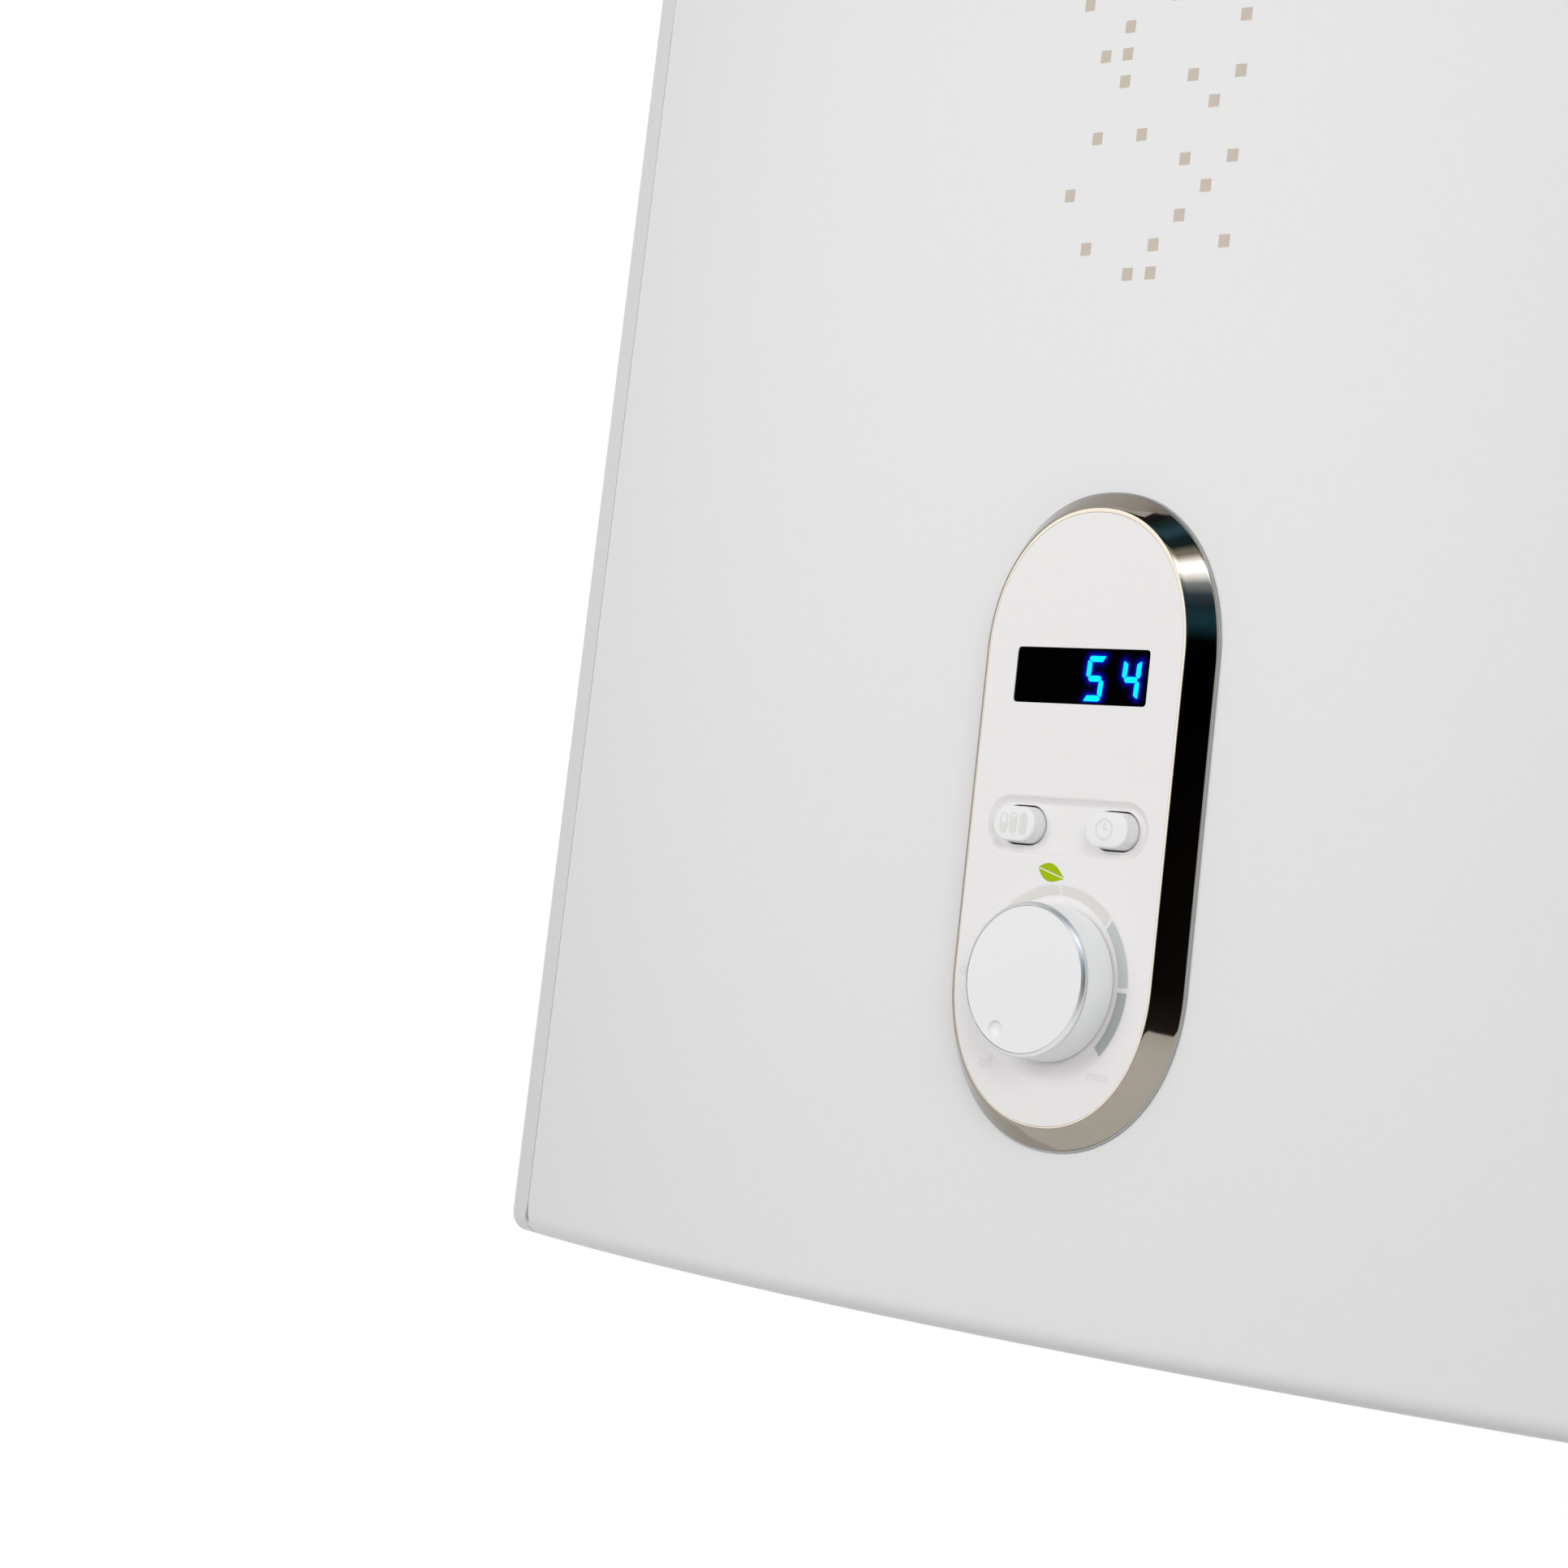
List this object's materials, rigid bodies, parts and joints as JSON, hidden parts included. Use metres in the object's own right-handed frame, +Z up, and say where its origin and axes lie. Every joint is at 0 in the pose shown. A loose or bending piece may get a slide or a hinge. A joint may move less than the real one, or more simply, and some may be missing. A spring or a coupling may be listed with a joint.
{
  "type": "electric storage water heater",
  "caption": "Flat wall-hung electric storage water heater with a bowed white front, two slim tanks inside and a chrome-framed panel with keys, a display and a knob.",
  "frame": {"origin": "middle of the upper wall bracket's back face, on the wall plane", "axes": "+Z up, +Y into the wall, +X to the right as seen from the front"},
  "size_m": [0.492, 0.3015, 0.8761],
  "materials": {
    "white_enamel": "gloss",
    "galvanised_sheet": "satin",
    "grey_cover": "matte",
    "zinc_screw": "satin",
    "insulating_foam": "matte",
    "stainless_tank": "satin",
    "stainless_pipe": "satin",
    "cold_blue": "satin",
    "hot_red": "satin",
    "seal_rubber": "matte",
    "copper_sheath": "satin",
    "magnesium": "matte",
    "black_phenolic": "satin",
    "signal_red": "satin",
    "circuit_green": "satin",
    "chrome": "polished",
    "white_panel": "gloss",
    "smoked_window": "polished",
    "black_housing": "satin",
    "white_key": "satin",
    "nylon_grey": "satin",
    "cable_grey": "matte",
    "brass_probe": "satin"
  },
  "bodies": {
    "heater": {"back_panel": "galvanised_sheet", "board_carrier": "galvanised_sheet", "bottom_cover": "grey_cover", "bottom_cover_screw_1": "zinc_screw", "bottom_cover_screw_2": "zinc_screw", "bottom_cover_screw_3": "zinc_screw", "bottom_cover_screw_4": "zinc_screw", "cable_gland": "nylon_grey", "chrome_bezel": "chrome", "cold_inlet_pipe": "stainless_pipe", "cold_marking_ring": "cold_blue", "control_board": "circuit_green", "control_cable": "cable_grey", "display_module": "black_phenolic", "display_window": "smoked_window", "encoder_body": "black_phenolic", "face_plate": "white_panel", "foam_insulation": "insulating_foam", "front_casing": "white_enamel", "gland_nut": "nylon_grey", "hot_marking_ring": "hot_red", "hot_outlet_pipe": "stainless_pipe", "inlet_diffuser": "nylon_grey", "left_anode": "magnesium", "left_flange": "galvanised_sheet", "left_flange_bolt_1": "zinc_screw", "left_flange_bolt_2": "zinc_screw", "left_flange_bolt_3": "zinc_screw", "left_flange_gasket": "seal_rubber", "left_heating_element": "copper_sheath", "left_sensor_pocket": "stainless_pipe", "left_side_panel": "white_enamel", "left_tank": "stainless_tank", "lower_wall_bracket": "galvanised_sheet", "panel_housing": "black_housing", "power_board": "circuit_green", "right_anode": "magnesium", "right_flange": "galvanised_sheet", "right_flange_bolt_1": "zinc_screw", "right_flange_bolt_2": "zinc_screw", "right_flange_bolt_3": "zinc_screw", "right_flange_gasket": "seal_rubber", "right_heating_element": "copper_sheath", "right_sensor_pocket": "stainless_pipe", "right_side_panel": "white_enamel", "right_tank": "stainless_tank", "safety_cutout": "black_phenolic", "temperature_probe": "brass_probe", "terminal_block": "nylon_grey", "top_cover": "white_enamel", "transfer_pipe": "stainless_pipe", "upper_wall_bracket": "galvanised_sheet"},
    "knob": {"knob_body": "white_key", "knob_ring": "chrome", "knob_face": "white_key", "encoder_shaft": "zinc_screw"},
    "level_key": {"level_button": "white_key"},
    "timer_key": {"timer_button": "white_key"},
    "reset_key": {"reset_button": "signal_red"}
  },
  "joints": [
    {"name": "knob_turn", "type": "hinge", "parent": "heater", "child": "knob", "pos_m": [0, -0.285, -0.61], "axis": [0, 1, 0], "range_deg": [0, 300]},
    {"name": "level_key_press", "type": "slide", "parent": "heater", "child": "level_key", "axis": [0, 1, 0], "range_m": [0, 0.0012], "stiffness_N_per_m": 800, "springref_m": -0.001},
    {"name": "timer_key_press", "type": "slide", "parent": "heater", "child": "timer_key", "axis": [0, 1, 0], "range_m": [0, 0.0012], "stiffness_N_per_m": 800, "springref_m": -0.001},
    {"name": "reset_key_press", "type": "slide", "parent": "heater", "child": "reset_key", "axis": [0, 0, 1], "range_m": [0, 0.0015], "stiffness_N_per_m": 800, "springref_m": -0.001}
  ]
}
